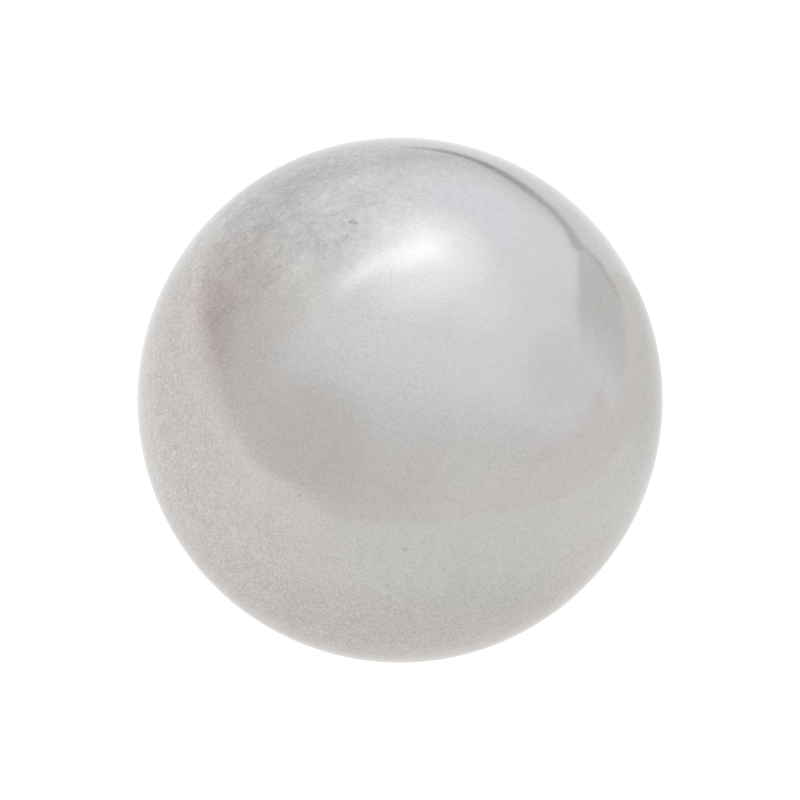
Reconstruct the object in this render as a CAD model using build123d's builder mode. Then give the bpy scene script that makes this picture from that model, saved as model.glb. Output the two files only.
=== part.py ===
from build123d import *
import os

# Loose steel ball, one solid, millimetres, +Z up.
# Origin: the ball's centre. The seat under the ball touches it at (0, 0, -ball_radius).

# Driving dimension: the ball's diameter, one inch, a stocked loose-ball size.
ball_diameter = 25.4

# Derived dimension.
ball_radius = ball_diameter / 2

os.makedirs("parts", exist_ok=True)

# The ball is ground all over to one unbroken spherical surface, with no flat, seam or hole.
with BuildPart() as steel_ball:
    Sphere(radius=ball_radius)

steel_ball.part.label = "steel_ball"
export_step(steel_ball.part, "parts/steel_ball.step")
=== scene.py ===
"""Loose ground steel ball on a pale light table, inside a soft light tent."""

import math
import random

import bmesh
import bpy
from bpy.props import (
    FloatProperty,
    FloatVectorProperty,
    IntProperty,
    PointerProperty,
)
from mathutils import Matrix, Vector, noise


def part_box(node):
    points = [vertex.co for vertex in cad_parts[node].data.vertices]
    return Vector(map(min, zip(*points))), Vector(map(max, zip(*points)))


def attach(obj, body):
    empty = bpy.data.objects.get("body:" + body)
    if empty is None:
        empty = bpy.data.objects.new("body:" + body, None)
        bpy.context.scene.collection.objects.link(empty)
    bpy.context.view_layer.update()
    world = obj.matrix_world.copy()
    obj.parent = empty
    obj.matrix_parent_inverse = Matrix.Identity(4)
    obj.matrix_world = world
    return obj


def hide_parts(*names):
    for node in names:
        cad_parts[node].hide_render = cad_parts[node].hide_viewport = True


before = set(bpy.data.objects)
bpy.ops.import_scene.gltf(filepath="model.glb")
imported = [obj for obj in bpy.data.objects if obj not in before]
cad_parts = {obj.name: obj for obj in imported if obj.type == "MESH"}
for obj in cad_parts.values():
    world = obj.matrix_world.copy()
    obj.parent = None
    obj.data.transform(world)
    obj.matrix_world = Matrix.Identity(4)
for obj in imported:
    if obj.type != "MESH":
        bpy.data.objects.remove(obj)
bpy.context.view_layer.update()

bl_info = {
    "name": "Steel Ball",
    "version": (1, 0, 0),
    "blender": (4, 5, 0),
    "location": "View3D > Sidebar > Steel Ball",
    "description": "Builds a loose ground steel ball and the pale stage it stands on",
    "category": "Object",
}

MM = 0.001
BALL_LOW, BALL_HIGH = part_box("steel_ball")
BALL_RADIUS = (BALL_HIGH.z - BALL_LOW.z) / 2
BALL_CENTRE = Vector((0.0, 0.0, (BALL_LOW.z + BALL_HIGH.z) / 2))
TABLE_LEVEL = BALL_LOW.z


def heading(turn, tilt):
    """Unit vector for a turn from the front, positive to the right, and a tilt, in degrees."""
    turn, tilt = math.radians(turn), math.radians(tilt)
    return Vector(
        (
            math.cos(tilt) * math.sin(turn),
            -math.cos(tilt) * math.cos(turn),
            math.sin(tilt),
        )
    )


# ---------------------------------------------------------------- settings


class BallSettings(bpy.types.PropertyGroup):
    """Sizes and colours of the ball"""

    radius: FloatProperty(
        name="Radius",
        description="Radius of the ball",
        default=BALL_RADIUS,
        unit="LENGTH",
        subtype="DISTANCE",
    )
    divisions: IntProperty(
        name="Divisions",
        description="Faces along each side of the six patches that make up the ball",
        default=80,
        min=8,
    )
    loose_pits: IntProperty(
        name="Loose Pits",
        description="How many tiny pits are strewn over the whole ball",
        default=36,
        min=0,
    )
    steel_colour: FloatVectorProperty(
        name="Steel",
        description="Colour of the ground steel",
        default=(0.501, 0.489, 0.470),
        subtype="COLOR",
        size=3,
    )
    pit_colour: FloatVectorProperty(
        name="Pit",
        description="Colour of the dull steel in the pits",
        default=(0.34, 0.33, 0.32),
        subtype="COLOR",
        size=3,
    )
    polish: FloatProperty(
        name="Polish Roughness",
        description="Roughness of the steel where it is smoothest",
        default=0.13,
        min=0.02,
        max=0.6,
        subtype="FACTOR",
    )
    grain_width: FloatProperty(
        name="Grain Width",
        description="Width of one speck of the ground grain",
        default=0.12 * MM,
        unit="LENGTH",
        subtype="DISTANCE",
        precision=6,
    )


class StageSettings(bpy.types.PropertyGroup):
    """Sizes of the stage and the camera's lens and place"""

    table_width: FloatProperty(
        name="Table Width",
        description="Width of the pale light table",
        default=6.0,
        unit="LENGTH",
        subtype="DISTANCE",
    )
    tent_radius: FloatProperty(
        name="Tent Radius",
        description="Radius of the light tent round the table",
        default=1.0,
        unit="LENGTH",
        subtype="DISTANCE",
    )
    table_glow: FloatProperty(
        name="Table Glow",
        description="Light that the table gives of its own",
        default=0.99,
        min=0.0,
    )
    lens: FloatProperty(
        name="Lens",
        description="Focal length in millimetres",
        default=100.0,
        min=10.0,
    )
    camera_tilt: FloatProperty(
        name="Camera Tilt",
        description="How far above level the camera stands",
        default=math.radians(45.0),
        subtype="ANGLE",
    )
    ball_share: FloatProperty(
        name="Ball Share",
        description="Share of the picture's width that the ball's outline takes",
        default=0.657,
        min=0.05,
        max=0.98,
        subtype="FACTOR",
    )


# ---------------------------------------------------------------- node helpers


class Nodes:
    """A short way to add nodes to a tree and join them."""

    def __init__(self, tree):
        self.tree = tree

    def add(self, kind, **values):
        node = self.tree.nodes.new(kind)
        for name, value in values.items():
            setattr(node, name, value)
        return node

    def feed(self, socket, value):
        if isinstance(value, bpy.types.NodeSocket):
            self.tree.links.new(value, socket)
        elif value is not None:
            socket.default_value = value

    def place(self):
        """Where a point lies on its own piece."""
        return self.add("ShaderNodeTexCoord").outputs["Object"]

    def away(self, squeeze=1.0):
        """Distance from the ball's upright axis, on a piece that lies at the origin."""
        across = self.vector("MULTIPLY", self.place(), (squeeze, 1.0, 0.0))
        return self.vector("LENGTH", across)

    def split(self, vector):
        """The outputs X, Y and Z of a vector."""
        node = self.add("ShaderNodeSeparateXYZ")
        self.feed(node.inputs[0], vector)
        return node.outputs

    def math(self, operation, a, b=None, c=None):
        node = self.add("ShaderNodeMath", operation=operation)
        for socket, value in zip(node.inputs, (a, b, c)):
            self.feed(socket, value)
        return node.outputs[0]

    def vector(self, operation, a, b=None):
        node = self.add("ShaderNodeVectorMath", operation=operation)
        self.feed(node.inputs[0], a)
        self.feed(node.inputs[1], b)
        return node.outputs["Value" if operation in ("DOT_PRODUCT", "LENGTH") else "Vector"]

    def blend(self, share, first, second, mode="MIX"):
        node = self.add("ShaderNodeMix", data_type="RGBA", blend_type=mode, clamp_factor=True)
        self.feed(node.inputs["Factor"], share)
        sockets = [s for s in node.inputs if s.type == "RGBA"]
        self.feed(sockets[0], first)
        self.feed(sockets[1], second)
        return [s for s in node.outputs if s.type == "RGBA"][0]

    def fit(self, value, low, high, out_low=0.0, out_high=1.0, kind="SMOOTHSTEP"):
        node = self.add("ShaderNodeMapRange", interpolation_type=kind)
        for socket, given in zip(node.inputs, (value, low, high, out_low, out_high)):
            self.feed(socket, given)
        return node.outputs["Result"]

    def noise(self, place, scale, detail=2.0, roughness=0.5, distortion=0.0):
        node = self.add("ShaderNodeTexNoise", noise_dimensions="3D")
        self.feed(node.inputs["Vector"], place)
        self.feed(node.inputs["Scale"], scale)
        self.feed(node.inputs["Detail"], detail)
        self.feed(node.inputs["Roughness"], roughness)
        self.feed(node.inputs["Distortion"], distortion)
        return node.outputs["Fac"]

    def both_ways(self, fac, reach):
        """A noise's middle stretch, reach to either side, spread from minus one to one."""
        return self.fit(fac, 0.5 - reach, 0.5 + reach, -1.0, 1.0, "LINEAR")

    def group(self, tree, **values):
        node = self.add("ShaderNodeGroup", node_tree=tree)
        for name, value in values.items():
            self.feed(node.inputs[name.replace("_", " ")], value)
        return node.outputs


def solid(colour):
    """A colour with full cover."""
    return (*colour, 1.0)


def new_group(name, inputs, outputs):
    """A shader node group with named sockets, ready to be filled."""
    tree = bpy.data.node_groups.new(name, "ShaderNodeTree")
    for direction, sockets in (("INPUT", inputs), ("OUTPUT", outputs)):
        for label, kind, start in sockets:
            socket = tree.interface.new_socket(name=label, in_out=direction, socket_type=kind)
            if start is not None:
                socket.default_value = start
    n = Nodes(tree)
    return tree, n, n.add("NodeGroupInput").outputs, n.add("NodeGroupOutput").inputs


def soft_patch_group():
    """Mask of a round patch with a soft edge, placed by direction from the ball's centre."""
    name = "Soft Patch"
    if name in bpy.data.node_groups:
        return bpy.data.node_groups[name]
    tree, n, given, result = new_group(
        name,
        (
            ("Place", "NodeSocketVector", None),
            ("Aim", "NodeSocketVector", (0.0, 0.0, 1.0)),
            ("Edge Cosine", "NodeSocketFloat", 0.5),
            ("Core Cosine", "NodeSocketFloat", 0.9),
        ),
        (("Mask", "NodeSocketFloat", None),),
    )
    towards = n.vector("DOT_PRODUCT", n.vector("NORMALIZE", given["Place"]), given["Aim"])
    n.feed(result["Mask"], n.fit(towards, given["Edge Cosine"], given["Core Cosine"]))
    return tree


def grain_group():
    """Fine even speckle, from minus one to one, with a coarser clumping beside it."""
    name = "Fine Grain"
    if name in bpy.data.node_groups:
        return bpy.data.node_groups[name]
    tree, n, given, result = new_group(
        name,
        (
            ("Place", "NodeSocketVector", None),
            ("Specks per Metre", "NodeSocketFloat", 8000.0),
            ("Clump Share", "NodeSocketFloat", 0.3),
        ),
        (("Speckle", "NodeSocketFloat", None), ("Clumps", "NodeSocketFloat", None)),
    )
    place, per_metre = given["Place"], given["Specks per Metre"]
    fine = n.noise(place, per_metre, detail=1.0, roughness=0.6)
    clump_scale = n.math("MULTIPLY", per_metre, given["Clump Share"])
    coarse = n.noise(place, clump_scale, detail=3.0, roughness=0.6, distortion=0.4)
    n.feed(result["Speckle"], n.both_ways(fine, 0.25))
    n.feed(result["Clumps"], n.both_ways(coarse, 0.2))
    return tree


def soft_edge_group():
    """Mask that climbs softly as a measure goes from where it is gone to where it is full."""
    name = "Soft Edge"
    if name in bpy.data.node_groups:
        return bpy.data.node_groups[name]
    tree, n, given, result = new_group(
        name,
        (
            ("Measure", "NodeSocketFloat", 0.0),
            ("Gone", "NodeSocketFloat", 0.0),
            ("Full", "NodeSocketFloat", 1.0),
        ),
        (("Mask", "NodeSocketFloat", None),),
    )
    n.feed(result["Mask"], n.fit(given["Measure"], given["Gone"], given["Full"]))
    return tree


def two_lights_group():
    """Two lights that pass softly into each other as a measure goes from low to high."""
    name = "Two Lights"
    if name in bpy.data.node_groups:
        return bpy.data.node_groups[name]
    tree, n, given, result = new_group(
        name,
        (
            ("Measure", "NodeSocketFloat", 0.0),
            ("Low", "NodeSocketFloat", 0.0),
            ("High", "NodeSocketFloat", 1.0),
            ("First", "NodeSocketColor", (1.0, 1.0, 1.0, 1.0)),
            ("Second", "NodeSocketColor", (1.0, 1.0, 1.0, 1.0)),
        ),
        (("Light", "NodeSocketColor", None),),
    )
    share = n.fit(given["Measure"], given["Low"], given["High"])
    n.feed(result["Light"], n.blend(share, given["First"], given["Second"]))
    return tree


def patch(n, place, turn, tilt, core, edge):
    """Mask of a patch aimed by turn and tilt, full to core degrees and gone at edge degrees."""
    return n.group(
        soft_patch_group(),
        Place=place,
        Aim=heading(turn, tilt),
        Edge_Cosine=math.cos(math.radians(edge)),
        Core_Cosine=math.cos(math.radians(core)),
    )["Mask"]


def soft_edge(n, measure, gone, full):
    """Mask that is nothing at gone and one at full."""
    return n.group(soft_edge_group(), Measure=measure, Gone=gone, Full=full)["Mask"]


def two_lights(n, measure, low, high, first, second):
    """The first light where the measure is low and the second where it is high."""
    return n.group(
        two_lights_group(),
        Measure=measure,
        Low=low,
        High=high,
        First=solid(first),
        Second=solid(second),
    )["Light"]


def new_material(name):
    """An empty node material with one Principled shader, given as its input sockets."""
    material = bpy.data.materials.new(name)
    material.use_nodes = True
    n = Nodes(material.node_tree)
    material.node_tree.nodes.clear()
    shader = n.add("ShaderNodeBsdfPrincipled")
    output = n.add("ShaderNodeOutputMaterial")
    n.feed(output.inputs["Surface"], shader.outputs["BSDF"])
    return material, n, shader.inputs


# ---------------------------------------------------------------- steel


# Zones with a finish of their own, by turn and tilt, then core and edge in degrees.
STEEL_ZONES = (
    ("smooth", 20.0, 50.0, 30.0, 88.0),
    ("lapped", 52.0, 56.0, 8.0, 32.0),
    ("calm", 180.0, -45.0, 30.0, 85.0),
    ("clouded", -105.0, 66.0, 10.0, 34.0),
)

# How deep each mark shades the steel: everywhere, then what a zone adds or takes away.
SPECKLE_SHADE = 0.28, {"smooth": -0.207, "lapped": -0.035, "calm": -0.13}
CLUMP_SHADE = 0.018, {"clouded": 0.062}
MOTTLE_SHADE = 0.058, {"smooth": -0.054, "clouded": 0.058}
WIDE_SHADE = 0.008

# How coarse the marks are: clumps for each speck, then mottles and wide clouds to a metre.
CLUMP_SHARE = 0.3
MOTTLE_PER_METRE = 1100.0
WIDE_PER_METRE = 160.0

# What roughens the polish, and the relief of the grain.
CLOUD_DULLNESS = 0.10
SPECKLE_DULLNESS = 0.03
PIT_DULLNESS = 0.3
CLUMP_HEIGHT = 0.4, {"clouded": 1.6}
GRAIN_RELIEF = 0.0004 * MM

# What the steel's shine is multiplied by where it is seen at a slant.
SLANT_TINT = (0.925, 0.925, 0.925)

# Faint stains, and one patch of painted shade, by turn and tilt: core and edge in degrees, then
# what they multiply the steel by.
STEEL_TINTS = (
    ("heat stain", -72.0, 46.0, 2.0, 9.0, (1.0, 0.945, 0.945)),
    ("heat streak", -60.0, 56.0, 2.0, 8.0, (1.0, 0.965, 0.965)),
    ("heat streak", -57.0, 39.5, 1.0, 8.0, (1.0, 0.972, 0.972)),
    ("heat halo", -80.0, 36.0, 3.0, 20.0, (1.0, 0.985, 0.98)),
    # A darker patch on the left of the clouded crown.
    ("dark patch", -75.0, 55.0, 3.0, 13.0, (0.955, 0.945, 0.935)),
    ("oil bloom", -45.0, 61.5, 1.0, 8.0, (1.0, 1.015, 0.975)),
    ("green bloom", 20.0, 5.5, 2.0, 18.0, (0.965, 0.985, 0.968)),
    ("grey bloom", 5.0, 7.0, 3.0, 17.0, (0.96, 0.975, 0.98)),
    ("brown bloom", -28.0, 3.0, 3.0, 20.0, (1.01, 0.985, 0.975)),
    ("warm side", -58.0, 16.0, 6.0, 38.0, (1.012, 0.995, 0.990)),
    ("warm foot", 0.0, -18.0, 4.0, 24.0, (1.03, 1.01, 1.006)),
    ("smear", -33.0, 21.0, 1.0, 7.0, (1.03, 1.03, 1.03)),
    ("smear", -21.0, 18.5, 1.0, 6.0, (1.03, 1.03, 1.03)),
    # Painted shade: darkens the back of the crown, where the ball mirrors a dimmer table behind
    # it.
    ("painted crown shade", -122.0, 60.0, 4.0, 20.0, (0.95, 0.945, 0.95)),
)


def zoned(n, zones, everywhere, changes):
    """An amount that each named zone raises or lowers."""
    amount = everywhere
    for zone, change in changes.items():
        amount = n.math("MULTIPLY_ADD", zones[zone], change, amount)
    return amount


def steel_material(ball):
    """Ground steel: fine grain, a clouded crown, faint heat and oil tints, painted shade at the
    back of the crown, and dull pits.
    """
    material, n, steel = new_material("ground_steel")
    place = n.place()
    grain = n.group(
        grain_group(),
        Place=place,
        Specks_per_Metre=1.0 / ball.grain_width,
        Clump_Share=CLUMP_SHARE,
    )
    speckle, clumps = grain["Speckle"], grain["Clumps"]
    mottle = n.noise(place, MOTTLE_PER_METRE, detail=3.0, roughness=0.6, distortion=0.6)
    wide = n.noise(place, WIDE_PER_METRE)
    zones = {name: patch(n, place, *where) for name, *where in STEEL_ZONES}
    pitted = n.add("ShaderNodeAttribute", attribute_name="pit").outputs["Fac"]

    shade = 1.0
    for mark, depth in (
        (speckle, zoned(n, zones, *SPECKLE_SHADE)),
        (clumps, zoned(n, zones, *CLUMP_SHADE)),
        (n.both_ways(mottle, 0.15), zoned(n, zones, *MOTTLE_SHADE)),
        (n.both_ways(wide, 0.15), WIDE_SHADE),
    ):
        shade = n.math("MULTIPLY_ADD", mark, depth, shade)
    colour = n.blend(1.0, solid(ball.steel_colour), shade, "MULTIPLY")
    # Each tint multiplies the colour over its patch, the painted crown shade among them.
    for _, turn, tilt, core, edge, tint in STEEL_TINTS:
        tinted = patch(n, place, turn, tilt, core, edge)
        colour = n.blend(tinted, colour, solid(tint), "MULTIPLY")
    n.feed(steel["Base Color"], n.blend(pitted, colour, solid(ball.pit_colour)))

    dull = n.math("MULTIPLY_ADD", zones["clouded"], CLOUD_DULLNESS, ball.polish)
    dull = n.math("MULTIPLY_ADD", speckle, SPECKLE_DULLNESS, dull)
    n.feed(steel["Roughness"], n.math("MULTIPLY_ADD", pitted, PIT_DULLNESS, dull))

    bump = n.add("ShaderNodeBump")
    clump_height = zoned(n, zones, *CLUMP_HEIGHT)
    n.feed(bump.inputs["Height"], n.math("MULTIPLY_ADD", clumps, clump_height, speckle))
    bump.inputs["Strength"].default_value = 1.0
    bump.inputs["Distance"].default_value = GRAIN_RELIEF
    n.feed(steel["Normal"], bump.outputs["Normal"])
    steel["Metallic"].default_value = 1.0
    steel["Specular Tint"].default_value = solid(SLANT_TINT)
    return material


# ---------------------------------------------------------------- ball


# Named pits by turn and tilt in degrees, then width and depth in millimetres.
NAMED_PITS = (
    ("crown pit", -60.0, 78.6, 0.44, 0.021),
    ("crown pit's tail", -55.2, 79.0, 0.42, 0.019),
    ("crown speck", -48.5, 75.5, 0.40, 0.011),
    ("crown speck", -50.5, 75.0, 0.36, 0.009),
    ("crown speck", -50.0, 73.2, 0.26, 0.006),
    ("crown speck", -54.2, 71.2, 0.40, 0.009),
    ("crown speck", -58.5, 70.4, 0.36, 0.007),
    ("cheek pit", -61.9, 61.6, 0.28, 0.009),
    ("front speck", 1.0, 14.0, 0.34, 0.009),
    ("right speck", 59.0, 8.0, 0.30, 0.008),
    ("left speck", -55.0, 26.0, 0.30, 0.007),
    ("cheek speck", -22.0, 23.0, 0.28, 0.006),
)

# Loose pits: seed, least and greatest width in millimetres, and depth as a share of width.
LOOSE_SEED = 7
LOOSE_WIDTHS = (0.10, 0.18)
LOOSE_SLOPES = (0.02, 0.04)

# Round each pit the skin is finer out to this many half widths, in steps of these cuts.
FINE_REACH = 2.6
FINE_CUTS = (2, 1)

# How ragged a pit's rim is, how many lumps it has per half width, and how grimy a steep pit is.
RIM_RAGGEDNESS = 0.35
RIM_LUMPS = 1.3
GRIME_PER_SLOPE = 12.0


def round_block(radius, divisions):
    """A closed ball of six square patches whose rows lie at even angles."""
    block = bmesh.new()
    bmesh.ops.create_cube(block, size=2.0)
    bmesh.ops.subdivide_edges(
        block, edges=block.edges[:], cuts=divisions - 1, use_grid_fill=True
    )
    for corner in block.verts:
        spread = Vector(math.tan(c * math.pi / 4) for c in corner.co)
        corner.co = spread.normalized() * radius
    return block


def refine(block, chosen, cuts, radius):
    """Divides the chosen faces and puts all corners back on the ball."""
    faces = [f for f in block.faces if chosen(f.calc_center_median().normalized())]
    edges = list({e for f in faces for e in f.edges})
    if edges:
        bmesh.ops.subdivide_edges(block, edges=edges, cuts=cuts, use_grid_fill=True)
        for corner in block.verts:
            corner.co = corner.co.normalized() * radius


def pit_list(ball):
    """Aim, half width and depth of the named pits and of loose ones strewn evenly."""
    pits = [
        (heading(turn, tilt), width * MM / 2, depth * MM)
        for _, turn, tilt, width, depth in NAMED_PITS
    ]
    chance = random.Random(LOOSE_SEED)
    for _ in range(ball.loose_pits):
        tilt = math.degrees(math.asin(chance.uniform(-1.0, 1.0)))
        turn = chance.uniform(-180.0, 180.0)
        width = chance.uniform(*LOOSE_WIDTHS) * MM
        pits.append((heading(turn, tilt), width / 2, width * chance.uniform(*LOOSE_SLOPES)))
    return pits


def press_pit(corner, way, radius, pit, grimy):
    """Sinks a corner that lies in a pit, and notes how grimy it is there."""
    aim, half, depth = pit
    off = (way - aim).length * radius / half
    off *= 1.0 + RIM_RAGGEDNESS * noise.noise(way * radius / half * RIM_LUMPS)
    if off < 1.0:
        share = (1.0 - off * off) ** 2
        corner.co -= way * depth * share
        grime = min(1.0, GRIME_PER_SLOPE * depth / half) * share
        corner[grimy] = max(corner[grimy], grime)


def ball_mesh(ball):
    """The ball's closed mesh with its pits pressed in, and their grime at each corner."""
    radius = ball.radius
    block = round_block(radius, ball.divisions)
    pits = [(pit, math.cos(FINE_REACH * pit[1] / radius)) for pit in pit_list(ball)]
    for cuts in FINE_CUTS:
        refine(
            block,
            lambda way: any(way.dot(pit[0]) > near for pit, near in pits),
            cuts,
            radius,
        )
    long_faces = [f for f in block.faces if len(f.verts) > 4]
    bmesh.ops.triangulate(block, faces=long_faces)
    if not all(edge.is_manifold for edge in block.edges):
        raise RuntimeError("the ball's skin is not closed")
    grimy = block.verts.layers.float.new("pit")
    for corner in block.verts:
        way = corner.co.normalized()
        for pit, near in pits:
            if way.dot(pit[0]) > near:
                press_pit(corner, way, radius, pit, grimy)
    mesh = bpy.data.meshes.new("steel_ball_body")
    block.to_mesh(mesh)
    block.free()
    mesh.shade_smooth()
    return mesh


class STEELBALL_OT_ball(bpy.types.Operator):
    """Build the steel ball with its pits and its ground finish"""

    bl_idname = "steelball.ball"
    bl_label = "Ball"

    def execute(self, context):
        ball = context.scene.steel_ball
        piece = bpy.data.objects.new("ball_body", ball_mesh(ball))
        context.collection.objects.link(piece)
        piece.data.materials.append(steel_material(ball))
        piece.location = BALL_CENTRE
        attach(piece, "root")
        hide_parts("steel_ball")
        return {"FINISHED"}


# ---------------------------------------------------------------- stage


# Light that the tent gives, by turn and tilt: core and edge in degrees, then colour.
TENT_PATCHES = (
    ("right wall", 95.0, 50.0, 5.0, 62.0, (1.235, 1.26, 1.345)),
    ("back wall", 155.0, 36.0, 5.0, 40.0, (1.29, 1.32, 1.43)),
    ("back left", -160.0, 14.0, 4.0, 26.0, (1.065, 1.07, 1.13)),
    ("back top", -168.0, 31.0, 3.0, 18.0, (1.25, 1.26, 1.33)),
    ("overhead right", 105.0, 64.0, 4.0, 24.0, (1.34, 1.37, 1.44)),
    ("overhead", 150.0, 83.0, 4.0, 21.0, (1.43, 1.445, 1.48)),
    ("back glow", 156.0, 66.0, 4.0, 27.0, (1.60, 1.62, 1.68)),
    ("overhead left", -85.0, 60.0, 2.0, 12.0, (1.19, 1.215, 1.26)),
    ("right glow", 132.0, 14.0, 3.0, 22.0, (1.27, 1.27, 1.36)),
    ("right low", 80.0, 16.0, 4.0, 24.0, (1.13, 1.12, 1.18)),
    ("back shade", -160.0, 1.0, 2.0, 10.0, (0.97, 0.97, 0.99)),
    ("left mid", -96.0, 42.0, 3.0, 16.0, (1.05, 1.025, 1.045)),
    ("left shade", -92.0, 14.0, 5.0, 34.0, (0.94, 0.925, 0.93)),
    ("left dark", -106.0, 10.0, 3.0, 18.0, (0.85, 0.815, 0.83)),
    ("front left shade", -40.0, 18.0, 4.0, 34.0, (0.93, 0.915, 0.92)),
    ("front right", 34.0, 6.0, 5.0, 28.0, (1.065, 1.06, 1.075)),
)

# Colours of light: low in the tent, at its top, on the table and beyond the tent.
TENT_FOOT_LIGHT = (0.985, 0.972, 0.98)
TENT_TOP_LIGHT = (1.24, 1.285, 1.35)
TABLE_LIGHT = (1.058, 1.053, 1.056)
SKY_LIGHT = (1.0, 1.0, 1.0)
SKY_STRENGTH = 1.05

# The tent brightens above this share of its height, by this power.
CLIMB_START = 0.1
CLIMB_POWER = 2.0

# The strip light's middle line, as X, Y and width at even steps, and its height. It is full
# from its head's share of the way to its tail's share, and its light passes from one to the other.
STRIP_LINE = (
    (0.060, 0.395, 0.18),
    (0.095, 0.285, 0.225),
    (0.092, 0.200, 0.250),
    (0.016, 0.150, 0.190),
    (-0.080, 0.128, 0.15),
    (-0.165, 0.078, 0.13),
    (-0.270, -0.010, 0.13),
)
STRIP_HEIGHT = 0.5
STRIP_HEAD = 0.3
STRIP_TAIL = 0.75
STRIP_HEAD_LIGHT = (2.02, 2.06, 2.12)
STRIP_TAIL_LIGHT = (1.77, 1.80, 1.84)

# How far the cards stand from the ball. Crests stand just in front of the others.
CARD_REACH = 0.10
CREST_REACH = 0.099

# How far lying sheets float above the table, so that those that overlap lie apart.
SHADOW_LIFT = 0.2 * MM
SHADE_LIFT = 0.3 * MM
CARD_LIFT = 0.5 * MM
FLAG_SHADOW_LIFT = 0.8 * MM

# The dark spot under the ball: radii where it is full and gone, half its sheet, and its cover.
SHADOW_FULL = 1.5 * MM
SHADOW_GONE = 5.0 * MM
SHADOW_HALF = 6.0 * MM
SHADOW_COVER = 0.7

# The pool of shade that the ball mirrors: where it is deepest, where it passes into the
# table, where it is gone, half its sheet, and how much narrower than long it is.
SHADE_CORE = 13.0 * MM
SHADE_RIM = 34.0 * MM
SHADE_GONE = 48.0 * MM
SHADE_HALF = 50.0 * MM
SHADE_SQUEEZE = 1.35

# The table's own dark colour, and its faint clouds: specks to a metre, clumps and depth.
TABLE_BASE = (0.05, 0.05, 0.05)
CLOUDS_PER_METRE = 400.0
CLOUD_CLUMPS = 0.2
CLOUD_SHADE = 0.004

# The camera sees nothing nearer or farther than this.
CLIP_NEAR = 0.005
CLIP_FAR = 20.0


def no_shine(sockets):
    """Takes all shine from a shader."""
    sockets["Roughness"].default_value = 1.0
    sockets["Specular IOR Level"].default_value = 0.0


def only_glows(material, sockets):
    """Leaves a shader with nothing but its own light."""
    sockets["Emission Strength"].default_value = 1.0
    sockets["Base Color"].default_value = (0.0, 0.0, 0.0, 1.0)
    no_shine(sockets)
    material.cycles.emission_sampling = "NONE"


def only_mirrored(piece):
    """Lets a card show in the ball's shine and nowhere else."""
    piece.visible_camera = False
    piece.visible_diffuse = False
    piece.visible_shadow = False
    piece.visible_transmission = False


def stage_piece(name, mesh, material):
    """A mesh set on the stage with its material."""
    mesh.materials.append(material)
    piece = bpy.data.objects.new(name, mesh)
    bpy.context.collection.objects.link(piece)
    return piece


def built_mesh(name, shape):
    """A mesh from a finished block of faces, which is let go."""
    mesh = bpy.data.meshes.new(name)
    shape.to_mesh(mesh)
    shape.free()
    return mesh


def flat_sheet(name, outline, lift, material):
    """A flat sheet at a lift above the table, from the X and Y of its corners in order."""
    mesh = bpy.data.meshes.new(name)
    corners = [(x, y, TABLE_LEVEL + lift) for x, y in outline]
    mesh.from_pydata(corners, [], [tuple(range(len(corners)))])
    return stage_piece(name, mesh, material)


def square(half):
    """Corners of a square round the ball's foot, in order."""
    return [(x * half, y * half) for x, y in ((-1, -1), (1, -1), (1, 1), (-1, 1))]


def table_material(stage):
    """Opal light table: a pale even glow with a faint cloudiness."""
    material, n, opal = new_material("opal_table")
    clouds = n.group(
        grain_group(),
        Place=n.place(),
        Specks_per_Metre=CLOUDS_PER_METRE,
        Clump_Share=CLOUD_CLUMPS,
    )["Clumps"]
    tone = n.math("MULTIPLY_ADD", clouds, CLOUD_SHADE, 1.0)
    n.feed(opal["Emission Color"], n.blend(1.0, solid(TABLE_LIGHT), tone, "MULTIPLY"))
    opal["Emission Strength"].default_value = stage.table_glow
    opal["Base Color"].default_value = solid(TABLE_BASE)
    no_shine(opal)
    material.cycles.emission_sampling = "NONE"
    return material


def make_table(stage):
    """The light table, which the ball stands on."""
    flat_sheet("light_table", square(stage.table_width / 2), 0.0, table_material(stage))


def tent_material():
    """Tent cloth that glows: dim and warm low down, bright and cool overhead, in patches."""
    material, n, cloth = new_material("tent_cloth")
    place = n.place()
    height = n.split(n.vector("NORMALIZE", place))["Z"]
    climb = n.math("POWER", n.fit(height, CLIMB_START, 1.0, kind="LINEAR"), CLIMB_POWER)
    glow = n.blend(climb, solid(TENT_FOOT_LIGHT), solid(TENT_TOP_LIGHT))
    for _, turn, tilt, core, edge, light in TENT_PATCHES:
        glow = n.blend(patch(n, place, turn, tilt, core, edge), glow, solid(light))
    n.feed(cloth["Emission Color"], glow)
    only_glows(material, cloth)
    return material


def make_tent(stage):
    """The tent round the table, which lights the ball and is hidden from the camera."""
    shell = bmesh.new()
    bmesh.ops.create_icosphere(shell, subdivisions=5, radius=stage.tent_radius)
    bmesh.ops.reverse_faces(shell, faces=shell.faces[:])
    mesh = built_mesh("light_tent", shell)
    mesh.shade_smooth()
    tent = stage_piece("light_tent", mesh, tent_material())
    tent.location = BALL_CENTRE
    tent.visible_camera = False


def strip_material():
    """Strip light with soft sides and ends, brightest a third of the way along."""
    material, n, strip = new_material("strip_light")
    spread = n.split(n.add("ShaderNodeUVMap", uv_map="spread").outputs["UV"])
    along, across = spread["X"], spread["Y"]
    cover = 1.0
    for measure, gone, full in (
        (across, 0.0, 0.5),
        (across, 1.0, 0.5),
        (along, 0.0, STRIP_HEAD),
        (along, 1.0, STRIP_TAIL),
    ):
        cover = n.math("MULTIPLY", cover, soft_edge(n, measure, gone, full))
    n.feed(strip["Alpha"], cover)
    light = two_lights(n, along, STRIP_HEAD, STRIP_TAIL, STRIP_HEAD_LIGHT, STRIP_TAIL_LIGHT)
    n.feed(strip["Emission Color"], light)
    only_glows(material, strip)
    return material


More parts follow.
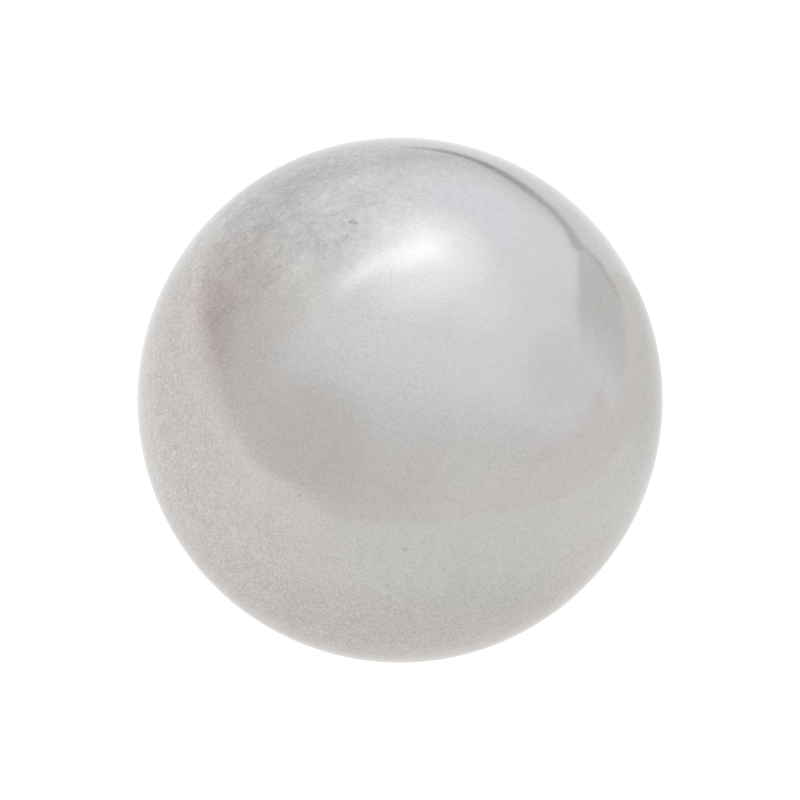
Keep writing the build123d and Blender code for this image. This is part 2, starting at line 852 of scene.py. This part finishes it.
def make_strip():
    """Strip light overhead, broad behind the ball and narrower round to its left."""
    shape = bmesh.new()
    spread = shape.loops.layers.uv.new("spread")
    last = len(STRIP_LINE) - 1
    rows = []
    for i, (x, y, width) in enumerate(STRIP_LINE):
        before, after = STRIP_LINE[max(i - 1, 0)], STRIP_LINE[min(i + 1, last)]
        run = Vector((after[0] - before[0], after[1] - before[1], 0.0)).normalized()
        side = Vector((-run.y, run.x, 0.0)) * width / 2
        middle = Vector((x, y, STRIP_HEIGHT))
        rows.append((shape.verts.new(middle - side), shape.verts.new(middle + side)))
    for i in range(last):
        face = shape.faces.new((rows[i][0], rows[i + 1][0], rows[i + 1][1], rows[i][1]))
        places = ((i, 0.0), (i + 1, 0.0), (i + 1, 1.0), (i, 1.0))
        for loop, (step, across) in zip(face.loops, places):
            loop[spread].uv = (step / last, across)
    mesh = built_mesh("strip_light", shape)
    only_mirrored(stage_piece("strip_light", mesh, strip_material()))


def make_contact_shade():
    """The dimmer, warmer pool of table that the ball mirrors round its foot."""
    material, n, shade = new_material("contact_shade")
    away = n.away(SHADE_SQUEEZE)
    pool, beyond = (0.975, 0.955, 0.945), (1.105, 1.100, 1.105)
    light = two_lights(n, away, SHADE_CORE, SHADE_RIM, pool, beyond)
    n.feed(shade["Emission Color"], light)
    n.feed(shade["Alpha"], soft_edge(n, away, SHADE_GONE, SHADE_RIM))
    only_glows(material, shade)
    only_mirrored(flat_sheet("contact_shade", square(SHADE_HALF), SHADE_LIFT, material))


def make_contact_shadow():
    """The small dark spot under the ball, where it meets the table."""
    material, n, shadow = new_material("contact_shadow")
    spot = soft_edge(n, n.away(), SHADOW_GONE, SHADOW_FULL)
    n.feed(shadow["Alpha"], n.math("MULTIPLY", spot, SHADOW_COVER))
    only_glows(material, shadow)
    shadow["Emission Strength"].default_value = 0.0
    flat_sheet("contact_shadow", square(SHADOW_HALF), SHADOW_LIFT, material)


def card_face(name, first, second, axis, low, high, fade=None):
    """Two lights, the first at low and the second at high on an axis, that may fade along Y."""
    material, n, card = new_material(name + "_face")
    place = n.split(n.place())
    n.feed(card["Emission Color"], two_lights(n, place[axis], low, high, first, second))
    if fade:
        n.feed(card["Alpha"], soft_edge(n, place["Y"], *fade))
    only_glows(material, card)
    return material


def between(before, start, end, after, t):
    """Value at share t of the way from start to end, on a smooth curve through all four."""
    slope = end - before
    bend = 2 * before - 5 * start + 4 * end - after
    twist = 3 * start - before - 3 * end + after
    return start + t * (slope + t * (bend + t * twist)) / 2


def joined(stations, steps=6):
    """The same stations with a smooth curve between them."""
    last = len(stations) - 1
    curve = []
    for i in range(last):
        near = (stations[max(i - 1, 0)], *stations[i : i + 2], stations[min(i + 2, last)])
        for step in range(steps):
            curve.append([between(*values, step / steps) for values in zip(*near)])
    return curve + [stations[last]]


def on_table(turn, away, height):
    """Point at a turn and distance from the ball, and a height above the table."""
    way = heading(turn, 0.0) * away
    return Vector((way.x, way.y, TABLE_LEVEL + height))


def standing_card(name, away, stations, material):
    """A curved card on the table, by turn, then foot and head height, at each station."""
    shape = bmesh.new()
    rows = [
        [shape.verts.new(on_table(turn, away, height)) for height in (foot, head)]
        for turn, foot, head in joined(stations)
    ]
    for one, two in zip(rows, rows[1:]):
        shape.faces.new((one[0], two[0], two[1], one[1]))
    only_mirrored(stage_piece(name, built_mesh(name, shape), material))


def lying_card(name, outline, material, lift=CARD_LIFT):
    """A flat card just above the table."""
    only_mirrored(flat_sheet(name, outline, lift, material))


def make_back_rail():
    """Dark bar behind the ball, which it mirrors as a thin line near its rim."""
    stations = (
        (134.0, 0.0250, 0.0335),
        (140.0, 0.0192, 0.0278),
        (147.0, 0.0160, 0.0252),
        (154.0, 0.0156, 0.0268),
        (161.0, 0.0133, 0.0233),
        (168.0, 0.0100, 0.0180),
        (174.0, 0.0100, 0.0155),
        (180.0, 0.0130, 0.0145),
    )
    face = card_face("back_rail", (0.48, 0.46, 0.55), (0.78, 0.77, 0.79), "X", 0.015, 0.062)
    standing_card("back_rail", CARD_REACH, stations, face)


def make_right_flag():
    """Flag at the right, greyer towards the back, and a painted shadow of it on the table below.
    """
    stations = (
        (92.0, 0.0, 0.043),
        (97.0, 0.0, 0.047),
        (106.0, 0.0, 0.0485),
        (114.0, 0.0, 0.047),
        (121.0, 0.0, 0.0425),
        (128.0, 0.0, 0.036),
        (134.0, 0.0, 0.028),
    )
    face = card_face("right_flag", (1.15, 1.15, 1.20), (0.955, 0.955, 0.965), "Y", 0.0, 0.045)
    standing_card("right_flag", CARD_REACH, stations, face)
    # Painted shadow of the flag on the table, seen only in the ball's shine.
    outline = (
        (0.014, -0.016),
        (0.012, 0.018),
        (0.068, 0.072),
        (0.098, 0.030),
        (0.0995, -0.016),
    )
    first, second = (0.98, 0.97, 0.97), (1.05, 1.035, 1.04)
    face = card_face("painted_flag_shadow", first, second, "X", 0.03, 0.07, fade=(-0.006, 0.014))
    lying_card("painted_flag_shadow", outline, face, FLAG_SHADOW_LIFT)


def make_painted_table_shade():
    """Painted shade: greyer table in front and to the right, out to the tent's foot, seen only in
    the ball's shine.
    """
    outline = (
        (0.047, 0.008),
        (0.047, -0.028),
        (0.055, -0.060),
        (0.050, -0.092),
        (0.018, -0.136),
        (-0.030, -0.122),
        (-0.046, -0.103),
        (-0.640, -0.740),
        (0.100, -0.980),
        (0.980, -0.100),
        (0.980, 0.160),
        (0.103, 0.010),
    )
    face = card_face("painted_table_shade", (1.01, 1.00, 1.01), (1.05, 1.035, 1.04), "X", 0.0, 0.06)
    lying_card("painted_table_shade", outline, face)


def make_flag_rim():
    """Shaded rim of the flag, where it meets the rail."""
    stations = (
        (128.0, 0.0000, 0.0066),
        (130.6, 0.0012, 0.0109),
        (133.0, 0.0052, 0.0122),
        (134.0, 0.0057, 0.0140),
        (135.0, 0.0061, 0.0200),
        (136.2, 0.0066, 0.0230),
        (137.1, 0.0149, 0.0240),
        (138.5, 0.0185, 0.0220),
    )
    face = card_face("flag_rim", (0.79, 0.78, 0.79), (0.86, 0.85, 0.86), "X", 0.069, 0.078)
    standing_card("flag_rim", CREST_REACH, stations, face)


def make_painted_back_light():
    """Painted light: brighter table behind the ball, seen only in the ball's shine."""
    outline = ((0.10, 0.09), (0.05, 0.11), (0.0, 0.12), (0.0, 0.9), (0.6, 0.75), (0.9, 0.5))
    first, second = (1.095, 1.09, 1.125), (1.11, 1.105, 1.14)
    lying_card("painted_back_light", outline, card_face("painted_back_light", first, second, "X", -0.05, 0.05))


def make_left_riser():
    """Curved riser at the left, with a crest in front of it that dims towards its head."""
    table_light, riser_light = (1.09, 1.075, 1.075), (1.16, 1.14, 1.135)
    crest_light = (1.02, 1.00, 1.00)
    heads = {
        -25.0: 0.002,
        -42.0: 0.0095,
        -52.0: 0.014,
        -60.0: 0.0185,
        -69.0: 0.0253,
        -79.0: 0.0312,
        -90.0: 0.0375,
        -104.0: 0.0350,
        -122.0: 0.0240,
        -134.0: 0.015,
    }
    crest_start, crest_end, crest_foot = -69.0, -122.0, 0.016
    crest = [
        (turn, crest_foot, head)
        for turn, head in heads.items()
        if crest_end <= turn <= crest_start
    ]
    face = card_face("riser_crest", riser_light, crest_light, "Z", 0.0035, 0.0235)
    standing_card("riser_crest", CREST_REACH, crest, face)
    riser = [(turn, 0.0, head) for turn, head in heads.items()]
    face = card_face("left_riser", table_light, riser_light, "Z", TABLE_LEVEL, 0.002)
    standing_card("left_riser", CARD_REACH, riser, face)


def make_sky():
    """White beyond the tent, so that the table's far edge melts away."""
    world = bpy.data.worlds.new("white_room")
    world.use_nodes = True
    back = world.node_tree.nodes["Background"]
    back.inputs["Color"].default_value = solid(SKY_LIGHT)
    back.inputs["Strength"].default_value = SKY_STRENGTH
    bpy.context.scene.world = world


def make_camera(stage):
    """Camera in front of the ball, tilted down, at the distance that gives the ball its share."""
    lens = bpy.data.cameras.new("camera")
    lens.lens = stage.lens
    lens.clip_start = CLIP_NEAR
    lens.clip_end = CLIP_FAR
    camera = bpy.data.objects.new("camera", lens)
    bpy.context.collection.objects.link(camera)
    outline = math.atan(stage.ball_share * lens.sensor_width / 2 / stage.lens)
    distance = BALL_RADIUS / math.sin(outline)
    way = heading(0.0, math.degrees(stage.camera_tilt))
    camera.location = BALL_CENTRE + way * distance
    camera.rotation_euler = (-way).to_track_quat("-Z", "Y").to_euler()
    bpy.context.scene.camera = camera


class STEELBALL_OT_stage(bpy.types.Operator):
    """Set out the light table, the tent with its strip light and cards, and the camera"""

    bl_idname = "steelball.stage"
    bl_label = "Stage"

    def execute(self, context):
        stage = context.scene.steel_ball_stage
        make_table(stage)
        make_tent(stage)
        make_strip()
        make_contact_shade()
        make_contact_shadow()
        make_back_rail()
        make_right_flag()
        make_painted_table_shade()
        make_flag_rim()
        make_painted_back_light()
        make_left_riser()
        make_sky()
        make_camera(stage)
        context.scene.view_settings.view_transform = "Standard"
        return {"FINISHED"}


class STEELBALL_PT_panel(bpy.types.Panel):
    """The ball and its stage, each with its settings below its button"""

    bl_label = "Steel Ball"
    bl_idname = "STEELBALL_PT_panel"
    bl_space_type = "VIEW_3D"
    bl_region_type = "UI"
    bl_category = "Steel Ball"

    def draw(self, context):
        layout = self.layout
        ball, stage = context.scene.steel_ball, context.scene.steel_ball_stage
        layout.operator(STEELBALL_OT_ball.bl_idname)
        for name in BallSettings.__annotations__:
            layout.prop(ball, name)
        layout.operator(STEELBALL_OT_stage.bl_idname)
        for name in StageSettings.__annotations__:
            layout.prop(stage, name)


CLASSES = (
    BallSettings,
    StageSettings,
    STEELBALL_OT_ball,
    STEELBALL_OT_stage,
    STEELBALL_PT_panel,
)


def register():
    for each in CLASSES:
        bpy.utils.register_class(each)
    bpy.types.Scene.steel_ball = PointerProperty(type=BallSettings)
    bpy.types.Scene.steel_ball_stage = PointerProperty(type=StageSettings)


def unregister():
    del bpy.types.Scene.steel_ball_stage
    del bpy.types.Scene.steel_ball
    for each in reversed(CLASSES):
        bpy.utils.unregister_class(each)


def main():
    register()
    bpy.ops.steelball.ball()
    bpy.ops.steelball.stage()


if __name__ == "__main__":
    main()
